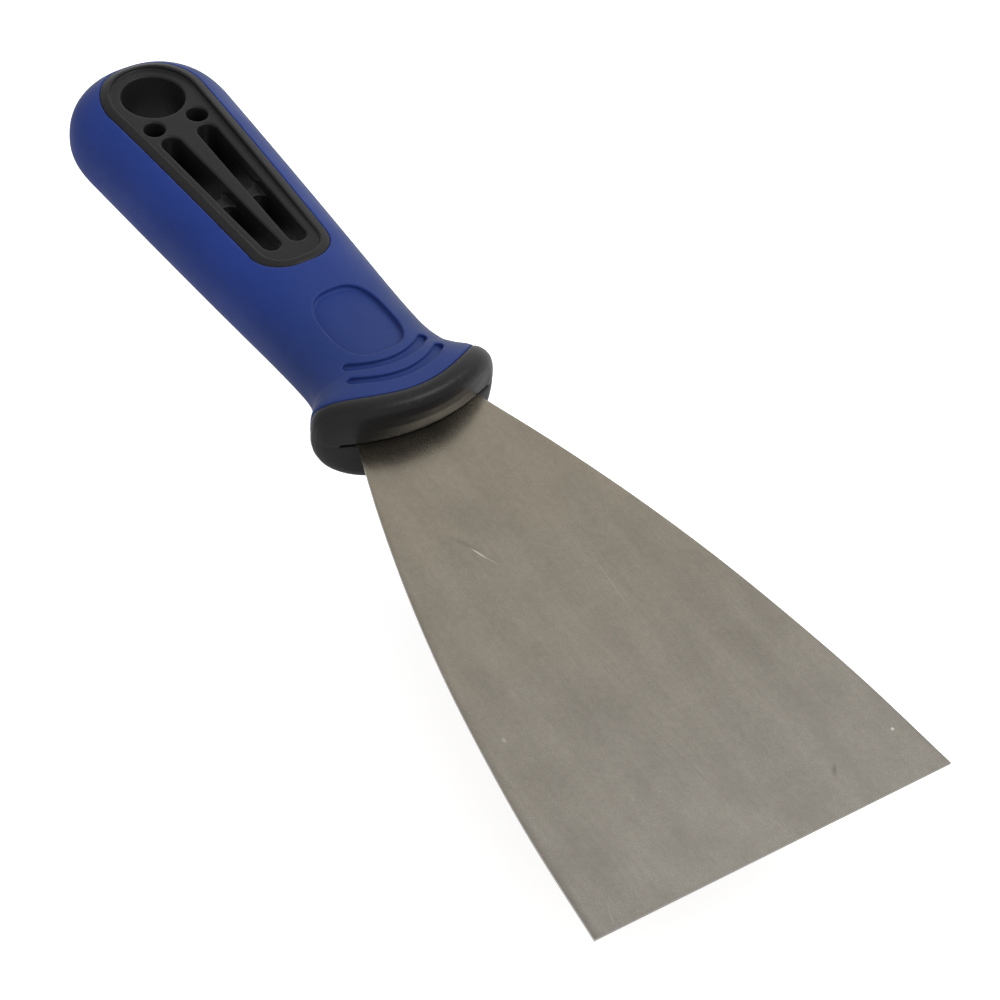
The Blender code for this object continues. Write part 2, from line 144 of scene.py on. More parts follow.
# ---- the handle's outer shape ----------------------------------------------------------
def profile(stations, x, column=1):
    """Smooth curve through one column of a station table."""
    xs = [station[0] for station in stations]
    values = [station[column] for station in stations]
    if x <= xs[0]:
        return values[0]
    if x >= xs[-1]:
        return values[-1]
    i = max(k for k in range(len(xs) - 1) if xs[k] <= x)

    def slope(k):
        before, after = max(k - 1, 0), min(k + 1, len(xs) - 1)
        return (values[after] - values[before]) / (xs[after] - xs[before])

    span = xs[i + 1] - xs[i]
    t = (x - xs[i]) / span
    return ((2 * t ** 3 - 3 * t ** 2 + 1) * values[i]
            + (t ** 3 - 2 * t ** 2 + t) * span * slope(i)
            + (3 * t ** 2 - 2 * t ** 3) * values[i + 1]
            + (t ** 3 - t ** 2) * span * slope(i + 1))


def half_sizes(x):
    """Half width and half height of the handle, closing round the butt."""
    sizes = [profile(HANDLE_STATIONS, x, column) for column in (1, 2)]
    if x < BUTT_START:
        t = min((BUTT_START - x) / BUTT_LENGTH, 0.99995)
        sizes = [size * (1 - t ** power) ** (1 / power)
                 for size, power in zip(sizes, BUTT_POWERS)]
    return [max(size, 0.05) for size in sizes]


# fine stations along the handle, closest together at the butt's end
FINE_XS = np.unique(np.concatenate([BUTT_END + np.linspace(0, 1, 400) ** 3 * BUTT_LENGTH,
                                    np.arange(-91.95, 0.0, 0.05)]))
FINE_HALF = np.array([half_sizes(x) for x in FINE_XS])
FINE_SLOPE = np.gradient(FINE_HALF, FINE_XS, axis=0)
FINE_POWER = np.interp(FINE_XS, *SECTION_POWER)
FINE_BOW = np.clip((FINE_XS - BOW_FROM) / (GRIP_END - BOW_FROM), 0, 1) * FULL_BOW


# Shapes are signed distances, negative inside. `blend` is how far a meeting is rounded.
def overlap(first, second, blend):
    near = np.maximum(blend - np.abs(first - second), 0.0) / blend
    return np.maximum(first, second) + near * near * blend * 0.25


def cut(body, tool, blend):
    return overlap(body, -tool, blend)


def join(first, second, blend):
    return -overlap(-first, -second, blend)


def bowed_station(x, y, stations, bows):
    """Station whose bowed section passes through x, y."""
    station = x + 0.0 * y
    for _ in range(14):
        station = 0.45 * station + 0.55 * (x + np.interp(station, stations, bows) * y * y)
    return station


def section(y, z, half_width, half_height, power, width_rate=0.0, height_rate=0.0):
    """Distance to a superellipse whose half sizes change along the axis."""
    y, z = np.abs(y) + 1e-4, np.abs(z) + 1e-4
    y_part, z_part = (y / half_width) ** power, (z / half_height) ** power
    total = y_part + z_part
    radius = total ** (1 / power)
    slope = radius / total * np.sqrt((y_part / y) ** 2 + (z_part / z) ** 2
                                     + (y_part * width_rate + z_part * height_rate) ** 2)
    return np.maximum((radius - 1) / np.maximum(slope, 1e-3), -12.0)


def outer(x, y, z):
    """Distance to the handle's smooth outer surface, and the bowed station."""
    station = bowed_station(x, y, FINE_XS, FINE_BOW)
    half_width = np.interp(station, FINE_XS, FINE_HALF[:, 0])
    half_height = np.interp(station, FINE_XS, FINE_HALF[:, 1])
    width_rate = np.interp(station, FINE_XS, FINE_SLOPE[:, 0]) / half_width
    height_rate = np.interp(station, FINE_XS, FINE_SLOPE[:, 1]) / half_height
    power = np.interp(station, FINE_XS, FINE_POWER)
    skin = section(y, z, half_width, half_height, power, width_rate, height_rate)
    return np.maximum(skin, BUTT_END + 0.02 - station), station


def collar(x, y, z):
    stations, half_widths, lower_heights, bows = COLLAR_STATIONS
    station = bowed_station(x, y, stations, bows)
    upper = np.clip(0.5 + z / 4.0, 0, 1)      # 0 in the lower half, 1 in the upper
    ahead = np.clip(station - CREST_AT, 0.0, 4.0)
    behind = np.clip(CREST_AT - station, 0.0, 3.0)
    crest = (CREST_HEIGHT - (CREST_RADIUS - np.sqrt(CREST_RADIUS ** 2 - ahead ** 2))
             - CREST_FALL * behind ** 2)
    half_height = upper * crest + (1 - upper) * np.interp(station, stations, lower_heights)
    half_width = np.interp(station, stations, half_widths)
    body = section(y, z, half_width, half_height, COLLAR_POWER)

    heights, upper_xs, lower_xs, face_bows = FACE_STATIONS
    off_z = np.abs(z)
    face_x = (upper * np.interp(off_z, heights, upper_xs)
              + (1 - upper) * np.interp(off_z, heights, lower_xs))
    face = (x - (face_x - np.interp(off_z, heights, face_bows) * y * y)) * FACE_LEAN
    # the front edge is rounder at the two sides and below
    side = np.clip((np.abs(y) - 12.0) / 6.0, 0, 1)
    body = overlap(body, face, blend=1.2 + 0.9 * np.maximum(side, 1 - upper))
    return overlap(body, COLLAR_REAR - station, blend=0.3)


# ---- plan shapes -----------------------------------------------------------------------
def arc_points(centre, radii, start, end, steps):
    """Points along an arc, between angles in degrees."""
    angles = [math.radians(start + (end - start) * k / steps) for k in range(steps + 1)]
    return [(centre[0] + radii[0] * math.cos(angle), centre[1] + radii[1] * math.sin(angle))
            for angle in angles]


def panel_outline():
    corner_x, corner_y = PANEL_FRONT - PANEL_CORNER, PANEL_FRONT_HALF - PANEL_CORNER
    corner = (PANEL_CORNER, PANEL_CORNER)
    points = arc_points((PANEL_REAR + PANEL_REAR_ARC, 0), (PANEL_REAR_ARC, PANEL_REAR_HALF),
                        90, 270, steps=48)
    points += arc_points((corner_x, -corner_y), corner, -90, 0, steps=20)
    points += arc_points((corner_x, corner_y), corner, 0, 90, steps=20)
    return np.array(points)


class Plan:
    """Signed distance to a closed plan outline, kept as a fine table."""

    def __init__(self, outline, margin=3.0, step=0.1):
        self.low = outline.min(0) - margin
        self.step = step
        counts = np.ceil((outline.max(0) + margin - self.low) / step).astype(int) + 1
        x, y = np.meshgrid(*(self.low[c] + step * np.arange(counts[c]) for c in range(2)),
                           indexing="ij")
        nearest = np.full(x.shape, 1e9)
        inside = np.zeros(x.shape, bool)
        for (x0, y0), (x1, y1) in zip(outline, np.roll(outline, -1, axis=0)):
            edge_x, edge_y = x1 - x0, y1 - y0
            squared = edge_x * edge_x + edge_y * edge_y
            if squared < 1e-12:
                continue
            t = np.clip(((x - x0) * edge_x + (y - y0) * edge_y) / squared, 0, 1)
            nearest = np.minimum(nearest, (x - x0 - t * edge_x) ** 2 + (y - y0 - t * edge_y) ** 2)
            if abs(edge_y) > 1e-12:
                inside ^= ((y0 > y) != (y1 > y)) & (x < (y - y0) / edge_y * edge_x + x0)
        self.table = np.sqrt(nearest) * np.where(inside, -1, 1)

    def __call__(self, x, y):
        column = (x - self.low[0]) / self.step
        row = (y - self.low[1]) / self.step
        columns, rows = self.table.shape
        held_column = np.clip(column, 0, columns - 1.001)
        held_row = np.clip(row, 0, rows - 1.001)
        i, j = held_column.astype(int), held_row.astype(int)
        tx, ty = held_column - i, held_row - j
        table = self.table
        value = (table[i, j] * (1 - tx) * (1 - ty) + table[i + 1, j] * tx * (1 - ty)
                 + table[i, j + 1] * (1 - tx) * ty + table[i + 1, j + 1] * tx * ty)
        beyond = np.abs(column - held_column) + np.abs(row - held_row)
        return value + beyond * self.step


PANEL = Plan(panel_outline())


def circle(x, y, centre_x, centre_y, radius):
    return np.hypot(x - centre_x, y - centre_y) - radius


def tapered_slot(x, y, rear, front):
    """Distance to the slot between two round ends of different radius."""
    (x0, y0, rear_radius), (x1, y1, front_radius) = rear, front
    length = math.hypot(x1 - x0, y1 - y0)
    dir_x, dir_y = (x1 - x0) / length, (y1 - y0) / length
    from_x, from_y = x - x0, y - y0
    along = from_x * dir_x + from_y * dir_y
    across = np.abs(-from_x * dir_y + from_y * dir_x)
    lean = (rear_radius - front_radius) / length
    rise = math.sqrt(1 - lean * lean)
    on_side = along * rise - across * lean    # place along the slanted side
    side = across * rise + along * lean - rear_radius
    front_end = np.hypot(along - length, across) - front_radius
    return np.where(on_side < 0, np.hypot(along, across) - rear_radius,
                    np.where(on_side > length * rise, front_end, side))


def slot_at(x):
    """Centre and radius of the panel's slot at x."""
    t = (x - SLOT_REAR[0]) / (SLOT_FRONT[0] - SLOT_REAR[0])
    return tuple(rear + t * (front - rear) for rear, front in zip(SLOT_REAR, SLOT_FRONT))


def panel_slots(x, off_y, off_z):
    """Both long slots, cut right through except at the rib."""
    slots = np.maximum(tapered_slot(x, off_y, SLOT_REAR, SLOT_FRONT), SLOT_SHELF - off_z)
    rib_x, rib_y, radius = slot_at(RIB_REAR + RIB_TRIM)
    behind = tapered_slot(x, off_y, SLOT_REAR, (rib_x - radius, rib_y, radius))
    rib_x, rib_y, radius = slot_at(RIB_FRONT - RIB_TRIM)
    ahead = tapered_slot(x, off_y, (rib_x + radius, rib_y, radius), SLOT_FRONT)
    return np.minimum(np.minimum(slots, behind), ahead)


def recess_plan(x, y):
    along = (np.abs(x - RECESS_X) + 1e-4) / RECESS_LENGTH
    across = (np.abs(y) + 1e-4) / RECESS_WIDTH
    total = along ** RECESS_POWER + across ** RECESS_POWER
    radius = total ** (1 / RECESS_POWER)
    slope_x = along ** (RECESS_POWER - 1) / RECESS_LENGTH
    slope_y = across ** (RECESS_POWER - 1) / RECESS_WIDTH
    slope = np.sqrt(slope_x * slope_x + slope_y * slope_y) * radius / total
    return (radius - 1) / np.maximum(slope, 1e-3)


def groove_plan(x, y, centre, radius, half_span):
    reach = math.asin(half_span / radius)
    from_x = x - centre
    angle = np.arctan2(y, from_x)
    held = np.clip(angle, -reach, reach)
    on_arc = np.abs(np.hypot(from_x, y) - radius)
    off_end = np.hypot(from_x - radius * np.cos(held), y - radius * np.sin(held))
    return np.where(np.abs(angle) <= reach, on_arc, off_end) - GROOVE_WIDTH / 2


# ---- the two moulded pieces as distance fields -----------------------------------------
def grip_field(x, y, z):
    skin, station = outer(x, y, z)
    sleeve = cut(skin, skin + SLEEVE_THICKNESS, blend=0.25)
    sleeve = cut(sleeve, PANEL(x, y) - 0.03, blend=0.22)
    sleeve = overlap(sleeve, station - (GRIP_END - 0.40), blend=0.3)
    recess = cut(recess_plan(x, y), skin + RECESS_DEPTH, blend=0.45)
    sleeve = cut(sleeve, np.maximum(recess, TOP_CUTS_ABOVE - z), blend=0.3)
    for arc in GROOVES:
        groove = cut(groove_plan(x, y, *arc), skin + GROOVE_DEPTH, blend=0.35)
        sleeve = cut(sleeve, np.maximum(groove, TOP_CUTS_ABOVE - z), blend=0.22)
    return sleeve


def core_field(x, y, z):
    skin, station = outer(x, y, z)
    off_y, off_z = np.abs(y), np.abs(z)
    panel = PANEL(x, y)
    core = np.maximum(skin + CORE_INSET, station - 0.4)
    core = join(core, collar(x, y, z), blend=0.3)
    core = np.minimum(core, overlap(skin + 0.02, panel + 0.02, blend=0.22))
    core = cut(core, overlap(panel + PANEL_RIM, PANEL_FLOOR - off_z, blend=0.3), blend=0.42)
    holes = np.minimum(circle(x, y, *LARGE_HOLE), circle(x, off_y, *SMALL_HOLE))
    core = cut(core, np.minimum(panel_slots(x, off_y, off_z), holes), blend=0.55)

    # the blade's mouth and tang pocket follow its sloping plane
    ahead = x * SLOPE_COS - z * SLOPE_SIN
    off_plane = np.abs(x * SLOPE_SIN + z * SLOPE_COS)
    mouth = np.maximum(np.maximum(off_plane - MOUTH_HALF_HEIGHT, off_y - MOUTH_HALF),
                       -MOUTH_DEPTH - ahead)
    core = cut(core, mouth, blend=0.14)
    pocket = np.maximum(np.maximum(off_plane - POCKET_HALF_HEIGHT, off_y - POCKET_HALF),
                        np.maximum(-TANG_LENGTH - POCKET_GAP - ahead, ahead - POCKET_FRONT))
    for pin_x in PIN_XS:
        bore = np.maximum(circle(x, y, pin_x, 0.0, PIN_BORE), off_z - PIN_HALF_HEIGHT)
        pocket = np.minimum(pocket, bore)
    return np.maximum(core, -pocket)


# ---- a fine quad surface from a distance field -----------------------------------------
def sample(field, low, counts, cell):
    """Field values on a grid, worked out in slabs to save memory."""
    xs, ys, zs = (low[c] + cell * np.arange(counts[c]) for c in range(3))
    values = np.empty(tuple(counts), np.float32)
    slab = 24
    for i in range(0, counts[0], slab):
        values[i:i + slab] = field(xs[i:i + slab, None, None], ys[None, :, None],
                                   zs[None, None, :])
    return values


def net(values):
    """One vertex per cell the surface crosses and one quad per crossed grid edge."""
    inside = values < 0
    shape = np.array(values.shape) - 1
    keys, places, edges = [], [], []
    for axis in range(3):
        near, far = [slice(None)] * 3, [slice(None)] * 3
        near[axis], far[axis] = slice(0, -1), slice(1, None)
        here = np.stack(np.nonzero(inside[tuple(near)] != inside[tuple(far)]), 1)
        beyond = here.copy()
        beyond[:, axis] += 1
        start, end = values[tuple(here.T)], values[tuple(beyond.T)]
        crossing = here.astype(float)
        crossing[:, axis] += start / (start - end)
        around = []
        for step1, step2 in ((-1, -1), (0, -1), (0, 0), (-1, 0)):
            cells = here.copy()
            cells[:, (axis + 1) % 3] += step1
            cells[:, (axis + 2) % 3] += step2
            valid = ((cells >= 0) & (cells < shape)).all(1)
            key = (cells[:, 0] * shape[1] + cells[:, 1]) * shape[2] + cells[:, 2]
            around.append(np.where(valid, key, -1))
            keys.append(key[valid])
            places.append(crossing[valid])
        edges.append((np.stack(around, 1), inside[tuple(here.T)]))

    # each vertex starts at the mean of its cell's crossings
    used, index = np.unique(np.concatenate(keys), return_inverse=True)
    index = index.reshape(-1)
    places = np.concatenate(places)
    count = np.bincount(index)
    vertices = np.stack([np.bincount(index, places[:, c]) / count for c in range(3)], 1)

    faces = []
    for around, starts_inside in edges:
        whole = (around >= 0).all(1)
        quads = np.searchsorted(used, around[whole])
        flip = ~starts_inside[whole]
        quads[flip] = quads[flip][:, ::-1]
        faces.append(quads)
    return vertices, np.concatenate(faces)


def slide(vertices, field, cell):
    """Moves vertices on to the exact surface."""
    reach = 0.02
    for _ in range(3):
        x, y, z = vertices.T
        value = field(x, y, z)
        slope = np.stack([field(x + reach, y, z) - field(x - reach, y, z),
                          field(x, y + reach, z) - field(x, y - reach, z),
                          field(x, y, z + reach) - field(x, y, z - reach)], 1) / (2 * reach)
        steepness = np.maximum((slope ** 2).sum(1), 0.2)
        move = -(value / steepness)[:, None] * slope
        length = np.linalg.norm(move, axis=1, keepdims=True)
        move *= np.minimum(1.0, 0.45 * cell / np.maximum(length, 1e-9))
        vertices = vertices + move
    return vertices


def surface(name, field, low, high, cell):
    low = np.array(low, float)
    counts = np.ceil((np.array(high, float) - low) / cell).astype(int) + 1
    vertices, faces = net(sample(field, low, counts, cell))
    vertices = slide(vertices * cell + low, field, cell)
    mesh = bpy.data.meshes.new(name)
    mesh.vertices.add(len(vertices))
    mesh.vertices.foreach_set("co", world(vertices).astype(np.float32).ravel())
    mesh.loops.add(len(faces) * 4)
    mesh.loops.foreach_set("vertex_index", faces.astype(np.int32).ravel())
    mesh.polygons.add(len(faces))
    mesh.polygons.foreach_set("loop_start", np.arange(0, len(faces) * 4, 4, dtype=np.int32))
    mesh.update(calc_edges=True)
    mesh.shade_smooth()
    return add_object(name, mesh)


# ---- blade -----------------------------------------------------------------------------
def blade_half(ahead):
    """Half width of the blade, its rounded shoulders and its tang."""
    def rounding(radius, offset):
        return math.sqrt(max(radius ** 2 - offset ** 2, 0.0))

    if ahead >= -2.0:
        half = profile(BLADE_STATIONS, ahead)
        return half if ahead >= 0 else half - 0.05 * ahead * ahead
    if ahead >= -3.0:
        return profile(BLADE_STATIONS, 0.0) - 1.2 + rounding(SHOULDER_ROUND, ahead + 2)
    if ahead >= -4.0:
        return TANG_HALF + SHOULDER_ROUND - rounding(SHOULDER_ROUND, ahead + 4)
    if ahead >= -TANG_LENGTH + TANG_CORNER:
        return TANG_HALF
    return TANG_HALF - TANG_CORNER + rounding(TANG_CORNER, ahead + TANG_LENGTH - TANG_CORNER)


def blade_ring(ahead, is_end):
    """Points round the sheet: along one face, round the edge, back along the other."""
    width = blade_half(ahead)
    height = BLADE_THICKNESS / 2 - (EDGE_ROUND if is_end else 0.0)
    ring = []
    for side in (1, -1):
        ring += [(ahead, (-1 + 2 * k / BLADE_ACROSS) * (width - EDGE_ROUND) * side, height * side)
                 for k in range(BLADE_ACROSS + 1)]
        ring += [(ahead, (width - EDGE_MID) * side, (height - EDGE_MID) * side),
                 (ahead, width * side, (height - EDGE_ROUND) * side),
                 (ahead, width * side, -(height - EDGE_ROUND) * side),
                 (ahead, (width - EDGE_MID) * side, -(height - EDGE_MID) * side)]
    return ring


def blade_faces(ring_count, ring_size):
    faces = []
    for i in range(ring_count - 1):
        for k in range(ring_size):
            j = (k + 1) % ring_size
            faces.append((i * ring_size + k, i * ring_size + j,
                          (i + 1) * ring_size + j, (i + 1) * ring_size + k))
    for base in (0, (ring_count - 1) * ring_size):
        low_start = base + BLADE_ACROSS + 5
        top = list(range(base, base + BLADE_ACROSS + 1))
        low = list(range(low_start, low_start + BLADE_ACROSS + 1))[::-1]
        for k in range(BLADE_ACROSS):
            faces.append((top[k], top[k + 1], low[k + 1], low[k]))
        faces.append((top[-1], *(top[-1] + k for k in range(1, 5)), low[-1]))
        faces.append((low[0], *(low[0] + k for k in range(1, 5)), top[0]))
    return faces


def blade_mesh():
    rows = [-TANG_LENGTH, -39.6, -39.0, -38.0, -37.0, -36.0, -30.0, -24.0, -18.0, -12.0, -8.0,
            -5.0, -4.0, -3.7, -3.35, -3.1, -3.01, -2.99, -2.9, -2.6, -2.2, -1.7, -1.0, -0.5]
    rows += [BLADE_LENGTH * k / BLADE_ALONG for k in range(BLADE_ALONG)]
    rows += [BLADE_LENGTH - EDGE_ROUND, BLADE_LENGTH]
    rings = [blade_ring(row, row in (rows[0], rows[-1])) for row in rows]
    flat = np.array([point for ring in rings for point in ring])
    ahead, side, above = flat.T
    sloped = np.stack([ahead * SLOPE_COS + above * SLOPE_SIN, side,
                       -ahead * SLOPE_SIN + above * SLOPE_COS], 1)
    mesh = bpy.data.meshes.new("steel_blade")
    mesh.from_pydata([tuple(point) for point in world(sloped)], [],
                     blade_faces(len(rings), len(rings[0])))
    editable = bmesh.new()
    editable.from_mesh(mesh)
    bmesh.ops.recalc_face_normals(editable, faces=editable.faces)
    editable.to_mesh(mesh)
    editable.free()
    mesh.shade_smooth()
    mesh.set_sharp_from_angle(angle=math.radians(38))
    # flat map of the sheet, so the steel's marks stay put when it bends
    layer = mesh.uv_layers.new(name="sheet")
    index = np.empty(len(mesh.loops), np.int32)
    mesh.loops.foreach_get("vertex_index", index)
    layer.data.foreach_set("uv", (flat[index, :2] / SHEET_UNIT).astype(np.float32).ravel())
    return add_object("steel_blade", mesh)


# ---- materials -------------------------------------------------------------------------
class Graph:
    """Adds shader nodes to a tree. An input is a value or another node's output."""

    def __init__(self, tree):
        self.tree = tree

    def feed(self, socket, value):
        if isinstance(value, bpy.types.NodeSocket):
            self.tree.links.new(value, socket)
        else:
            socket.default_value = (*value, 1.0) if socket.type == "RGBA" else value

    def add(self, kind, *inputs, **settings):
        """New node with inputs by place, and inputs or properties by name."""
        node = self.tree.nodes.new("ShaderNode" + kind)
        for name, value in settings.items():
            if name in node.inputs:
                self.feed(node.inputs[name], value)
            else:
                setattr(node, name, value)
        for socket, value in zip(node.inputs, inputs):
            self.feed(socket, value)
        return node

    def noise(self, vector, scale, detail=3.0, rough=0.5, stretch=None):
        if stretch:
            vector = self.add("Mapping", Vector=vector, Scale=stretch).outputs["Vector"]
        return self.add("TexNoise", Vector=vector, Scale=scale, Detail=detail,
                        Roughness=rough).outputs["Fac"]

    def ramp(self, value, across, onto=(0.0, 1.0), curve="SMOOTHSTEP"):
        """Carries the range `across` on to the range `onto`."""
        return self.add("MapRange", value, *across, *onto,
                        interpolation_type=curve).outputs["Result"]

    def mix(self, factor, low, high):
        node = self.add("Mix", data_type="RGBA")
        for place, value in ((0, factor), (6, low), (7, high)):    # the colour sockets
            self.feed(node.inputs[place], value)
        return node.outputs[2]

    def maths(self, operation, first, second=0.0):
        return self.add("Math", first, second, operation=operation).outputs[0]

    def times(self, first, second):
        return self.maths("MULTIPLY", first, second)

    def plus(self, first, second):
        return self.maths("ADD", first, second)

    def layer(self, under, tint, mask, strength):
        """Lays a tint over a colour where the mask is high."""
        return self.mix(self.times(mask, strength), under, tint)

    def dot(self, vector, direction):
        return self.add("VectorMath", vector, direction,
                        operation="DOT_PRODUCT").outputs["Value"]

    def geometry(self, output):
        return self.add("NewGeometry").outputs[output]

    def sheen_and_dust(self, power, most):
        """Painted grazing sheen, partly a dust bloom: rises towards `most` edge on, where a
        surface faces up, back and to +y.
        """
        facing = self.add("LayerWeight", Blend=0.5).outputs["Facing"]
        lie = self.dot(self.geometry("Normal"), (-0.35, 0.60, 0.72))
        lit_side_mask = self.ramp(lie, across=(0.0, 0.75), onto=(0.1, 1.0))
        return self.times(self.times(self.maths("POWER", facing, power), lit_side_mask), most)

    def bump(self, height, strength, distance, below=None):
        node = self.add("Bump", Strength=strength, Distance=distance, Height=height)
        if below is not None:
            self.feed(node.inputs["Normal"], below)
        return node.outputs["Normal"]


class Shader(Graph):
    """Graph of a new material, around its Principled BSDF."""

    def __init__(self, name):
        self.material = bpy.data.materials.new(name)
        self.material.use_nodes = True
        super().__init__(self.material.node_tree)

    def finish(self, inputs):
        for name, value in inputs.items():
            self.feed(self.tree.nodes["Principled BSDF"].inputs[name], value)
        return self.material


def rubber():
    shader = Shader("soft_blue_rubber")
    point = shader.add("TexCoord").outputs["Object"]
    broad = shader.noise(point, scale=32.0, detail=4.0, rough=0.55)
    mottle = shader.noise(point, scale=260.0, rough=0.6)
    colour = shader.mix(shader.ramp(broad, across=(0.35, 0.68)),
                        low=(0.0095, 0.0320, 0.200), high=(0.0125, 0.0380, 0.232))
    colour = shader.layer(colour, tint=(0.018, 0.046, 0.245),
                          mask=shader.ramp(mottle, across=(0.45, 0.75)), strength=0.25)
    # handled edges are a little polished and paler; dust sits in a few pinpoints
    edge = shader.ramp(shader.geometry("Pointiness"), across=(0.515, 0.56))
    colour = shader.layer(colour, tint=(0.030, 0.056, 0.24), mask=edge, strength=0.35)
    cells = shader.add("TexVoronoi", Vector=point, Scale=330.0, feature="F1")
    few = shader.ramp(shader.noise(point, scale=95.0, detail=1.0), across=(0.66, 0.72))
    dust = shader.times(shader.ramp(cells.outputs["Distance"], across=(0.16, 0.07)), few)
    colour = shader.layer(colour, tint=(0.10, 0.12, 0.24), mask=dust, strength=0.45)
    # the rubber is darker and greyer towards the collar end
    along = shader.add("SeparateXYZ", point).outputs[0]
    toward_collar = shader.ramp(shader.plus(along, shader.times(broad, 0.012)), across=(-0.150, -0.119))
    colour = shader.layer(colour, tint=(0.0150, 0.0325, 0.122), mask=toward_collar, strength=0.55)
    # a painted sheen, partly a dust bloom, greys the rubber where it is seen along its surface
    # and faces up, back and to +y
    flat = shader.maths("SUBTRACT", 1.0, edge)
    colour = shader.layer(colour, tint=(0.110, 0.125, 0.108),
                          mask=shader.sheen_and_dust(power=2.5, most=0.55), strength=flat)
    patches = shader.noise(point, scale=120.0, detail=4.0, rough=0.6)
    grain = shader.noise(point, scale=5200.0, detail=2.0, rough=0.6)
    fine = shader.bump(grain, strength=0.22, distance=0.00008)
    waves = shader.noise(point, scale=300.0, detail=2.0)
    return shader.finish({
        "Base Color": colour,
        "Roughness": shader.ramp(patches, across=(0.3, 0.7), onto=(0.50, 0.60)),
        "Specular IOR Level": 0.2,
        "Sheen Weight": 0.03,
        "Sheen Roughness": 0.5,
        "Normal": shader.bump(waves, strength=0.12, distance=0.00025, below=fine)})


def hard_plastic():
    shader = Shader("moulded_dark_grey_plastic")
    point = shader.add("TexCoord").outputs["Object"]
    broad = shader.noise(point, scale=45.0, detail=4.0, rough=0.55)
    colour = shader.mix(shader.ramp(broad, across=(0.35, 0.7)),
                        low=(0.0120, 0.0118, 0.0128), high=(0.0152, 0.0148, 0.0160))
    grain = shader.noise(point, scale=1900.0, detail=2.0, rough=0.6)
    colour = shader.layer(colour, tint=(0.021, 0.020, 0.022),
                          mask=shader.ramp(grain, across=(0.5, 0.72)), strength=0.35)
    edge = shader.ramp(shader.geometry("Pointiness"), across=(0.515, 0.57))
    colour = shader.layer(colour, tint=(0.030, 0.029, 0.030), mask=edge, strength=0.35)
    # a painted sheen, partly a dust bloom, greys the plastic where it is seen edge on and faces
    # up, back and to +y
    colour = shader.layer(colour, tint=(0.115, 0.122, 0.108),
                          mask=shader.sheen_and_dust(power=3.0, most=0.4),
                          strength=shader.maths("SUBTRACT", 1.0, edge))
    patches = shader.noise(point, scale=90.0, detail=4.0, rough=0.6)
    pitting = shader.noise(point, scale=2900.0, detail=2.0, rough=0.65)
    fine = shader.bump(pitting, strength=0.34, distance=0.00012)
    waves = shader.noise(point, scale=420.0, detail=2.0)
    return shader.finish({
        "Base Color": colour,
        "Roughness": shader.ramp(patches, across=(0.3, 0.7), onto=(0.35, 0.41)),
        "Specular IOR Level": 0.17,
        "Normal": shader.bump(waves, strength=0.1, distance=0.0002, below=fine)})


SHEET_UNIT = 100.0                           # millimetres of blade per unit of its UV map
STEEL_WARM, STEEL_GREY = (0.268, 0.237, 0.187), (0.266, 0.246, 0.216)
DULL, BRIGHT = (0.10, 0.09, 0.08), (0.62, 0.58, 0.54)
# marks of use on the steel: distance ahead of the slot, y, half length, half width,
# turn in degrees, softness, strength, tone
MARKS = (
    (24.5, -4.3, 5.5, 3.2, 25, 0.8, 0.20, DULL), (27.8, -9.3, 2.6, 0.5, 30, 0.7, 0.22, DULL),
    (31.4, -8.0, 1.5, 0.13, 20, 0.5, 0.85, BRIGHT), (33.8, -7.0, 1.6, 0.1, 24, 0.6, 0.3, BRIGHT),
    (98.6, 33.0, 0.3, 0.3, 0, 0.4, 0.9, BRIGHT), (100.8, 18.6, 1.1, 0.4, -35, 0.7, 0.42, DULL),
    (62.0, 21.0, 24.0, 2.6, 3, 0.9, 0.12, DULL), (74.0, -8.0, 7.0, 4.0, 10, 0.9, 0.09, DULL),
    (68.0, -27.5, 0.5, 0.35, 0, 0.6, 0.3, BRIGHT), (88.0, -2.5, 9.0, 0.09, 8, 0.5, 0.22, DULL),
    (47.0, 9.0, 7.0, 0.08, -5, 0.5, 0.16, BRIGHT),
    (106.8, -32.4, 1.6, 0.1, -20, 0.6, 0.16, BRIGHT))


def oval(shader, along, side, place, length, width, turn):
    """Distance from a turned oval's centre on the sheet, 1 at its rim."""
    cosine, sine = math.cos(math.radians(turn)), math.sin(math.radians(turn))
    from_along = shader.maths("SUBTRACT", along, place[0] / SHEET_UNIT)
    from_side = shader.maths("SUBTRACT", side, place[1] / SHEET_UNIT)

    def squared(along_part, side_part, size):
        reach = shader.plus(shader.times(from_along, along_part * SHEET_UNIT / size),
                            shader.times(from_side, side_part * SHEET_UNIT / size))
        return shader.times(reach, reach)

    return shader.maths("SQRT", shader.plus(squared(cosine, sine, length),
                                            squared(-sine, cosine, width)))


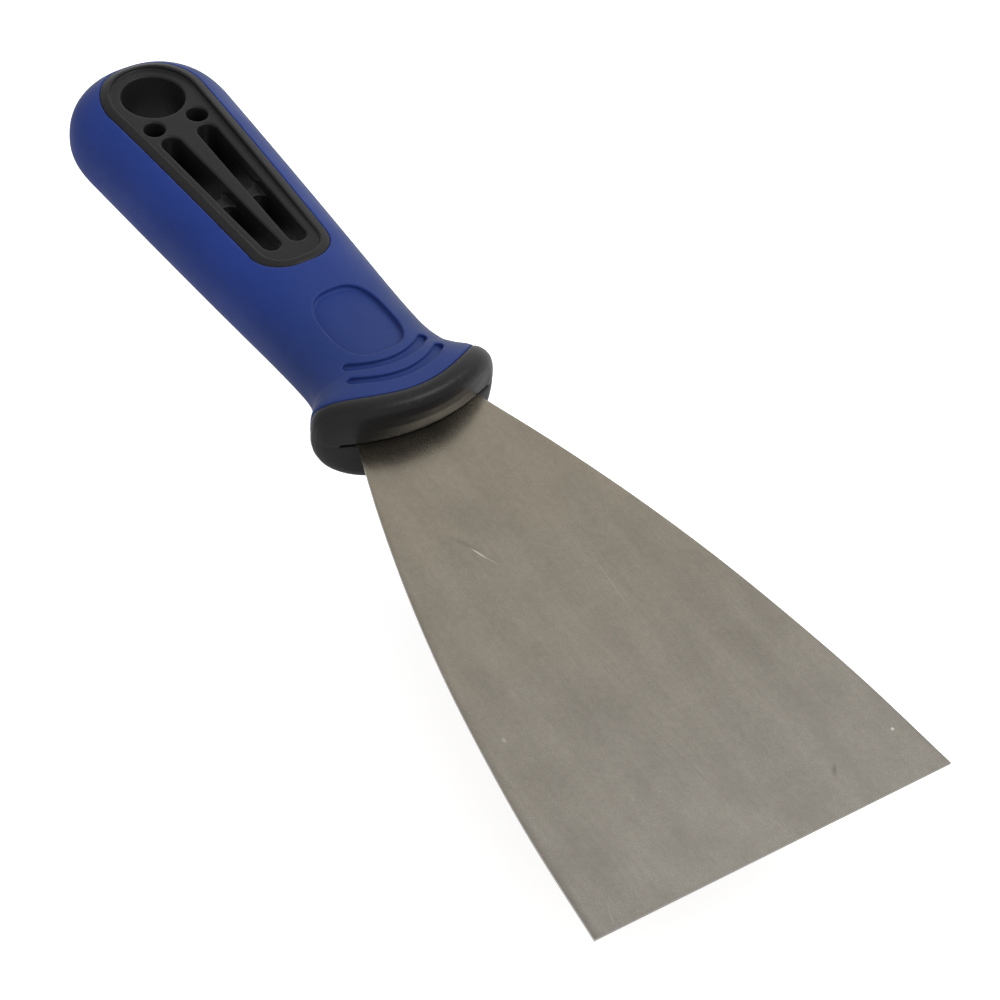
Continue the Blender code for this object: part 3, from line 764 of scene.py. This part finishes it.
def spring_steel():
    shader = Shader("satin_spring_steel")
    flat = shader.add("UVMap", uv_map="sheet").outputs["UV"]
    along, side = shader.add("SeparateXYZ", flat).outputs[:2]
    # warmer by the handle, greyer towards the working edge
    drift = shader.times(shader.noise(flat, scale=4.0), 0.3)
    lengthwise = shader.ramp(shader.plus(along, drift), across=(0.15, 1.25))
    colour = shader.mix(lengthwise, STEEL_WARM, STEEL_GREY)
    # rolled bands and finer grain both run along the sheet, with clouds and flecks over them
    bands = shader.noise(flat, scale=1.0, rough=0.55, stretch=(1.3, 13.0, 1.0))
    grain = shader.noise(flat, scale=1.0, detail=4.0, rough=0.6, stretch=(14.0, 170.0, 1.0))
    clouds = shader.noise(flat, scale=11.0, detail=4.0, rough=0.55)
    mottle = shader.noise(flat, scale=70.0, rough=0.65)
    fleck = shader.noise(flat, scale=260.0, detail=2.0, rough=0.7)
    shade = shader.ramp(bands, across=(0.3, 0.7), onto=(-0.055, 0.055))
    for pattern, across, swing in ((grain, (0.3, 0.7), 0.025), (clouds, (0.3, 0.7), 0.03),
                                   (mottle, (0.25, 0.75), 0.05), (fleck, (0.25, 0.75), 0.06)):
        shade = shader.plus(shade, shader.ramp(pattern, across, onto=(-swing, swing)))
    shade = shader.plus(shade, 1.0)
    colour = shader.add("VectorMath", colour, operation="SCALE", Scale=shade).outputs[0]
    tint = shader.noise(flat, scale=95.0, detail=2.0, rough=0.6)
    colour = shader.mix(shader.ramp(tint, across=(0.45, 0.7), onto=(0.0, 0.15)),
                        low=colour, high=(0.285, 0.235, 0.200))
    colour = shader.mix(shader.ramp(tint, across=(0.52, 0.3), onto=(0.0, 0.20)),
                        low=colour, high=(0.232, 0.240, 0.190))
    for ahead, y, length, width, turn, soft, strength, tone in MARKS:
        rim = oval(shader, along, side, (ahead, y), length, width, turn)
        colour = shader.layer(colour, tint=tone, strength=strength,
                              mask=shader.ramp(rim, across=(1.0 + soft, 1.0 - soft)))
    # the ground edges are bright where the faces are dull
    facing = shader.dot(shader.geometry("True Normal"), (SLOPE_SIN, 0.0, SLOPE_COS))
    ground = shader.ramp(shader.maths("ABSOLUTE", facing), across=(0.9, 0.6))
    rough = shader.plus(shader.ramp(clouds, across=(0.25, 0.75), onto=(0.245, 0.275)),
                        shader.ramp(fleck, across=(0.3, 0.8), onto=(-0.01, 0.02)))
    lines = shader.bump(grain, strength=0.05, distance=0.00001)
    return shader.finish({
        "Base Color": shader.mix(ground, low=colour, high=(0.60, 0.56, 0.52)),
        "Metallic": 1.0,
        "Roughness": rough,
        "Normal": shader.bump(fleck, strength=0.03, distance=0.00001, below=lines)})


def turned_steel():
    shader = Shader("plain_pin_steel")
    point = shader.add("TexCoord").outputs["Object"]
    rings = shader.noise(point, scale=900.0, rough=0.6, stretch=(0.1, 0.1, 3.0))
    return shader.finish({
        "Base Color": shader.mix(shader.ramp(rings, across=(0.3, 0.7)),
                                 low=(0.36, 0.36, 0.37), high=(0.52, 0.52, 0.53)),
        "Metallic": 1.0,
        "Roughness": shader.ramp(rings, across=(0.3, 0.7), onto=(0.25, 0.42)),
        "Normal": shader.bump(rings, strength=0.2, distance=0.00003)})


def pale_paper():
    """Lit from below as well, like a light table, so that shadows stay faint."""
    shader = Shader("pale_paper")
    fibre = shader.noise(shader.add("TexCoord").outputs["Object"], scale=900.0, rough=0.6)
    return shader.finish({
        "Base Color": shader.mix(fibre, low=(0.90, 0.90, 0.90), high=(0.94, 0.94, 0.94)),
        "Roughness": 0.9,
        "Specular IOR Level": 0.0,
        "Emission Color": (1.0, 1.0, 1.0),
        "Emission Strength": 0.62})


# ---- build -----------------------------------------------------------------------------
grip = surface("blue_grip", grip_field, low=(BUTT_END - 0.9, -19.3, -10.9),
               high=(1.2, 19.3, 10.9), cell=CELL)
core = surface("grey_core", core_field, low=(BUTT_END + 1.0, -20.2, -10.9),
               high=(4.4, 20.2, 10.9), cell=CELL)
blade = blade_mesh()
grip.data.materials.append(rubber())
core.data.materials.append(hard_plastic())
blade.data.materials.append(spring_steel())
pin_steel = turned_steel()
for name in ("tang_pin_front", "tang_pin_rear"):
    pin = frame["nodes"][name]
    if pin.material_slots:
        for held in pin.material_slots:
            held.material = pin_steel
    else:
        pin.data.materials.append(pin_steel)

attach(grip, "handle")
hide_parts("grip_sleeve")
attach(core, "handle")
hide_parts("handle_core")


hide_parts("blade")
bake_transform(blade)

# ---- floor, light, camera --------------------------------------------------------------
FLOOR_X, FLOOR_Z = -60, -36.0                # centre; clear of the blade at its lower limit
FLOOR_HALF, FLOOR_STEPS = 900.0, 12
# brightness of the room by direction: 0 is away from the named direction, 1 towards it
LIGHT_FROM = (0.90, 0.15, 0.10)
LIGHT_LEVELS = ((0.0, 0.56), (0.4, 0.60), (0.6, 0.67), (0.8, 0.78), (1.0, 0.92))
SHEEN_FROM = (-0.50, 0.80, 0.10)
SHEEN_LEVELS = ((0.0, 0.46), (0.25, 0.42), (0.38, 0.31), (0.5, 0.26), (0.68, 0.32),
                (0.78, 0.435), (0.86, 0.45), (0.92, 0.47), (1.0, 0.50))
LIGHT_STRENGTH, SHEEN_STRENGTH, WHITE_STRENGTH = 1.0, 2.1, 1.05
SOFTBOX_PLACE, SOFTBOX_AIM = (240, 480, 1010), (-40, 0, 0)
SOFTBOX_WIDTH, SOFTBOX_HEIGHT, SOFTBOX_POWER = 520, 420, 5.6     # power in watts
CAMERA_PLACE = (419.16724427, -312.14973977, 501.52624394)
CAMERA_RIGHT = Vector((0.56196543, 0.82401473, 0.07207347))
CAMERA_UP = Vector((-0.61256748, 0.35603759, 0.70568996))
CAMERA_FORWARD = Vector((-0.55583805, 0.44072322, -0.70484545))


def add_floor():
    mesh = bpy.data.meshes.new("studio_floor")
    offsets = range(FLOOR_STEPS + 1)
    points = [tuple(world([FLOOR_X - FLOOR_HALF + 2 * FLOOR_HALF * i / FLOOR_STEPS,
                           -FLOOR_HALF + 2 * FLOOR_HALF * j / FLOOR_STEPS, FLOOR_Z]))
              for i in offsets for j in offsets]
    row = FLOOR_STEPS + 1
    starts = [i * row + j for i in range(FLOOR_STEPS) for j in range(FLOOR_STEPS)]
    mesh.from_pydata(points, [], [(k, k + row, k + row + 1, k + 1) for k in starts])
    floor = add_object("studio_floor", mesh)
    floor.data.materials.append(pale_paper())
    floor.visible_diffuse = False
    floor.visible_glossy = False


def direction_level(graph, where, direction, levels):
    """Brightness of the room by the angle from one direction."""
    facing = graph.dot(where, Vector(direction).normalized())
    towards = graph.ramp(facing, across=(-1.0, 1.0), curve="LINEAR")
    fall = graph.add("ValToRGB", towards)
    elements = fall.color_ramp.elements
    while len(elements) < len(levels):
        elements.new(0.5)
    for element, (position, level) in zip(elements, levels):
        element.position = position
        element.color = (level, level, level, 1)
    return fall.outputs[0]


def add_room():
    """A pale room with its own levels for reflections, plain white to the camera."""
    room = bpy.data.worlds.new("studio")
    bpy.context.scene.world = room
    room.use_nodes = True
    room.node_tree.nodes.clear()
    graph = Graph(room.node_tree)

    def background(colour, strength):
        return graph.add("Background", Color=colour, Strength=strength).outputs[0]

    output = graph.add("OutputWorld")
    where = graph.add("TexCoord").outputs["Generated"]
    rays = graph.add("LightPath").outputs
    light = background(direction_level(graph, where, LIGHT_FROM, LIGHT_LEVELS), LIGHT_STRENGTH)
    sheen = background(direction_level(graph, where, SHEEN_FROM, SHEEN_LEVELS), SHEEN_STRENGTH)
    white = background((1.0, 1.0, 1.0), WHITE_STRENGTH)
    lit = graph.add("MixShader", rays["Is Glossy Ray"], light, sheen).outputs[0]
    seen = graph.add("MixShader", rays["Is Camera Ray"], lit, white).outputs[0]
    graph.feed(output.inputs[0], seen)


def add_softbox():
    lamp = bpy.data.lights.new("main_softbox", "AREA")
    lamp.shape = "RECTANGLE"
    lamp.size, lamp.size_y = SOFTBOX_WIDTH * MM, SOFTBOX_HEIGHT * MM
    lamp.energy = SOFTBOX_POWER
    softbox = add_object("main_softbox", lamp)
    softbox.location = Vector(world(SOFTBOX_PLACE))
    softbox.rotation_mode = "QUATERNION"
    aim = Vector(world(SOFTBOX_AIM)) - softbox.location
    softbox.rotation_quaternion = aim.to_track_quat("-Z", "Y")


def add_camera():
    camera = bpy.data.cameras.new("photo_camera")
    camera.sensor_width = 36.0
    camera.lens = 144.204
    camera.clip_start, camera.clip_end = 0.01, 20.0
    eye = add_object("photo_camera", camera)
    turn = Matrix((CAMERA_RIGHT, CAMERA_UP, -CAMERA_FORWARD)).transposed().to_4x4()
    eye.matrix_world = Matrix.Translation(Vector(world(CAMERA_PLACE))) @ turn
    bpy.context.scene.camera = eye


add_floor()
add_room()
add_softbox()
add_camera()
view = bpy.context.scene.view_settings
view.view_transform = "Standard"
view.look = "None"
view.exposure = 0.0
